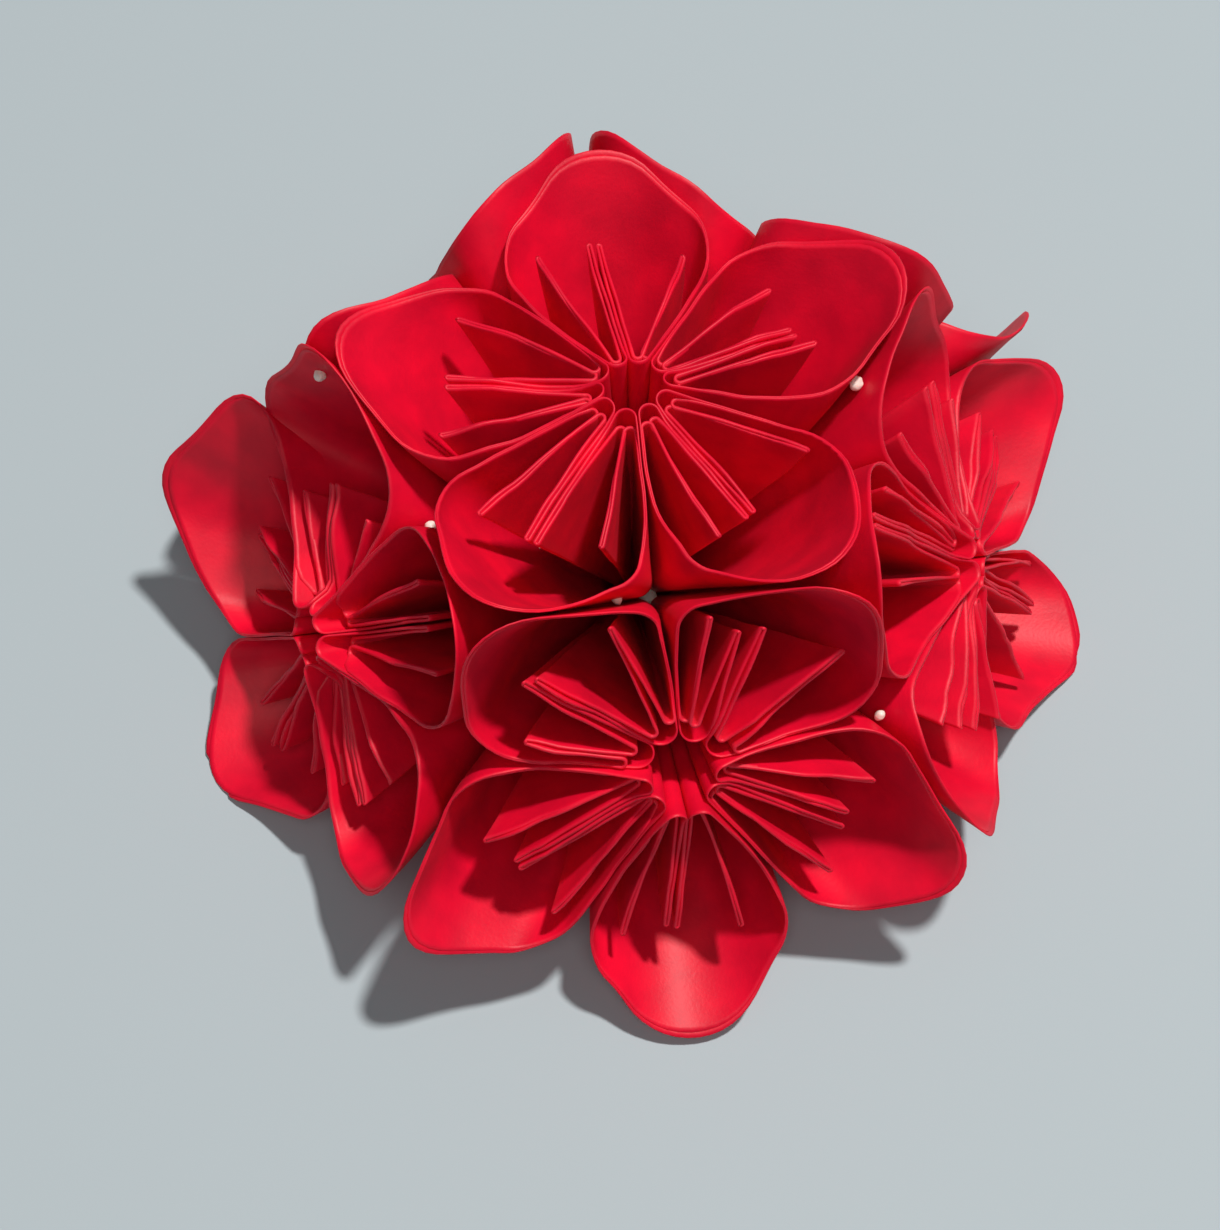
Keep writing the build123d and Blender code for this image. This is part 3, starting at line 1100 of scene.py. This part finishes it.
def glue_lumps() -> Tree:
    """Tree that puts an uneven lump of glue at every point it is given.

    Returns:
        The tree, which takes points with the attribute size.
    """
    tree = Tree("glue_lumps", {
        "Unevenness": Socket.FLOAT,
        "Grain Scale": Socket.FLOAT,
        "Subdivisions": Socket.INT,
        "Most Turn": Socket.VECTOR,
        "Seed": Socket.INT,
        "Glue": Socket.MATERIAL,
    })
    given = tree.given
    ball = {"Radius": 1.0, "Subdivisions": given["Subdivisions"]}
    drop = tree.add("GeometryNodeMeshIcoSphere", ball)
    turn = tree.add(
        "FunctionNodeRandomValue",
        {0: (0.0, 0.0, 0.0), 1: given["Most Turn"], "Seed": given["Seed"]},
        data_type="FLOAT_VECTOR",
    )
    size = tree.add("GeometryNodeInputNamedAttribute", {"Name": "size"}, data_type="FLOAT_VECTOR")
    placed = tree.add("GeometryNodeInstanceOnPoints", {
        "Points": given["Geometry"],
        "Instance": drop.outputs[0],
        "Rotation": turn.outputs[0],
        "Scale": size.outputs["Attribute"],
    })
    real = tree.add("GeometryNodeRealizeInstances", {"Geometry": placed.outputs[0]}).outputs[0]
    position = tree.add("GeometryNodeInputPosition", {}).outputs[0]
    noise = tree.add("ShaderNodeTexNoise", {
        "Vector": position,
        "Scale": given["Grain Scale"],
        "Detail": NOISE_DETAIL,
    })
    push = tree.push(noise, given["Unevenness"])
    uneven = tree.add("GeometryNodeSetPosition", {"Geometry": real, "Offset": push})
    smooth = tree.add("GeometryNodeSetShadeSmooth", {"Geometry": uneven.outputs[0]}).outputs[0]
    tree.finish(smooth, given["Glue"])
    return tree


@dataclass
class GlueDots:
    """Dried glue where two flowers meet.

    Attributes:
        flowers: The flowers, the top one first and then the ring in order.
        depth: How deep the dots lie below the flowers' middles, mm.
        radius, speck_radius: Radii of a dot and of a fleck, mm.
        specks: Places of the small flecks at the rims, from the ball's centre, mm.
        size_range, size_seed: Least and largest share of the radius along each axis, and its seed.
        unevenness, grain_scale: How far a lump's surface is pushed about, mm, and how finely.
        subdivisions: How finely a lump is drawn.
        most_turn, turn_seed: Largest turn of a lump about each axis, radians, and its seed.
    """

    flowers: tuple[Flower, ...]
    depth: float = 8.5
    radius: float = 0.5
    specks: tuple[Triple, ...] = (
        (-10.0, -3.6, 14.5),
        (-2.0, -9.2, 15.4),
        (10.68, 0.1, 16.85),
        (9.85, -13.6, 9.3),
        (-14.34, 4.45, 16.33),
    )
    speck_radius: float = 0.3
    size_range: tuple[float, float] = (0.75, 1.25)
    size_seed: int = 11
    unevenness: float = 0.35
    grain_scale: float = 1400.0
    subdivisions: int = 4
    most_turn: Triple = (6.28, 6.28, 6.28)
    turn_seed: int = 5

    def build(self, glue: Material) -> Object:
        """Makes all dots as one piece.

        Args:
            glue: Material of the glue.

        Returns:
            The finished piece.
        """
        top, *ring = [flower.axis() for flower in self.flowers]
        pairs = [(top, axis) for axis in ring] + list(zip(ring, ring[1:] + ring[:1]))
        places = [BALL_CENTRE + unit(one + other) * (HINGE - self.depth) for one, other in pairs]
        radii = [self.radius] * len(places) + [self.speck_radius] * len(self.specks)
        places += [BALL_CENTRE + np.array(speck) for speck in self.specks]
        mesh = bpy.data.meshes.new("glue_lumps")
        mesh.from_pydata([tuple(place * MM) for place in places], [], [])
        chance = np.random.default_rng(self.size_seed)
        shares = chance.uniform(*self.size_range, (len(places), 3))
        store(mesh, "size", np.array(radii)[:, None] * MM * shares)
        piece = add_object("glue_lumps", mesh)
        glue_lumps().run(piece, {
            "Unevenness": self.unevenness * MM,
            "Grain Scale": self.grain_scale,
            "Subdivisions": self.subdivisions,
            "Most Turn": self.most_turn,
            "Seed": self.turn_seed,
            "Glue": glue,
        })
        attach(piece, BODY)
        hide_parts("glue_dots")
        return piece


@dataclass
class Studio:
    """Pale floor, one key light high on the right, a soft fill, an even sky and the camera."""

    floor_half: float = 1.5
    floor_colour: Triple = (0.381, 0.448, 0.494)
    floor_roughness: float = 0.7
    lamp_colour: Triple = (1.0, 0.96, 0.9)
    key_power: float = 8.1
    key_size: float = 0.07
    key_place: Triple = (0.257, 0.055, 0.861)
    sky: float = 0.11
    sky_colour: Triple = (0.95, 0.97, 1.0)
    fill_power: float = 1.0
    fill_size: float = 0.3
    fill_distance: float = 0.7
    lens: float = 78.3
    nearest: float = 0.001
    farthest: float = 10.0
    eye: Triple = (-0.00986, -0.07046, 0.12434)
    forward: Triple = (0.0615, 0.4976, -0.8652)
    rightward: Triple = (0.9909, -0.1344, -0.0068)

    def floor(self) -> Object:
        """Large pale plane under the dome.

        Returns:
            The floor.
        """
        mesh = bpy.data.meshes.new("floor")
        half = self.floor_half
        corners = [(-half, -half, 0), (half, -half, 0), (half, half, 0), (-half, half, 0)]
        mesh.from_pydata(corners, [], [(0, 1, 2, 3)])
        mesh.materials.append(plain_material("floor", {
            "Base Color": (*self.floor_colour, 1.0),
            "Roughness": self.floor_roughness,
        }))
        piece = add_object("floor", mesh)
        return piece

    def lamp(self, name: str, place: Vector, size: float, power: float) -> None:
        """Adds a round lamp that shines on the dome.

        Args:
            name: Name of the lamp.
            place: Where it hangs, in metres.
            size: Its diameter in metres.
            power: Its power in watts.
        """
        data = bpy.data.lights.new(name, "AREA")
        data.shape = "DISK"
        data.size = size
        data.energy = power
        data.color = self.lamp_colour
        piece = add_object(name, data)
        piece.location = place
        piece.rotation_mode = "QUATERNION"
        piece.rotation_quaternion = (-place).to_track_quat("-Z", "Y")

    def lights(self) -> None:
        """Key light high on the right, a fill from the camera's side and an even sky."""
        self.lamp("key", Vector(self.key_place), self.key_size, self.key_power)
        away = -Vector(self.forward).normalized()
        self.lamp("fill", away * self.fill_distance, self.fill_size, self.fill_power)
        world = bpy.data.worlds.new("studio")
        world.use_nodes = True
        light = {"Color": (*self.sky_colour, 1.0), "Strength": self.sky}
        Nodes(world.node_tree).feed(world.node_tree.nodes["Background"], light)
        bpy.context.scene.world = world

    def camera(self) -> None:
        """Camera at the photo's angle."""
        data = bpy.data.cameras.new("camera")
        data.lens = self.lens
        data.clip_start = self.nearest
        data.clip_end = self.farthest
        piece = add_object("camera", data)
        ahead, side = Vector(self.forward).normalized(), Vector(self.rightward).normalized()
        up = side.cross(ahead).normalized()
        side = ahead.cross(up)
        turn = Matrix((side, up, -ahead)).transposed()
        piece.matrix_world = Matrix.Translation(self.eye) @ turn.to_4x4()
        bpy.context.scene.camera = piece

    def build(self) -> None:
        """Sets up floor, lights and camera."""
        self.floor()
        self.lights()
        self.camera()
        bpy.context.scene.view_settings.view_transform = "Standard"


def main() -> None:
    """Builds the half ball, piece by piece, and the studio around it."""
    logging.basicConfig(level=logging.INFO, format="%(message)s")
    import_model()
    paper = PaperFinish().material()
    glue = GlueFinish().material()
    tree = rolled_sheet()
    for flower in FLOWERS:
        for piece in flower.build(tree, paper):
            log.info("%s: %d faces", piece.name, len(piece.data.polygons))
    dots = GlueDots(FLOWERS).build(glue)
    log.info("%s: %d faces", dots.name, len(dots.data.polygons))
    Studio().build()


if __name__ == "__main__":
    main()
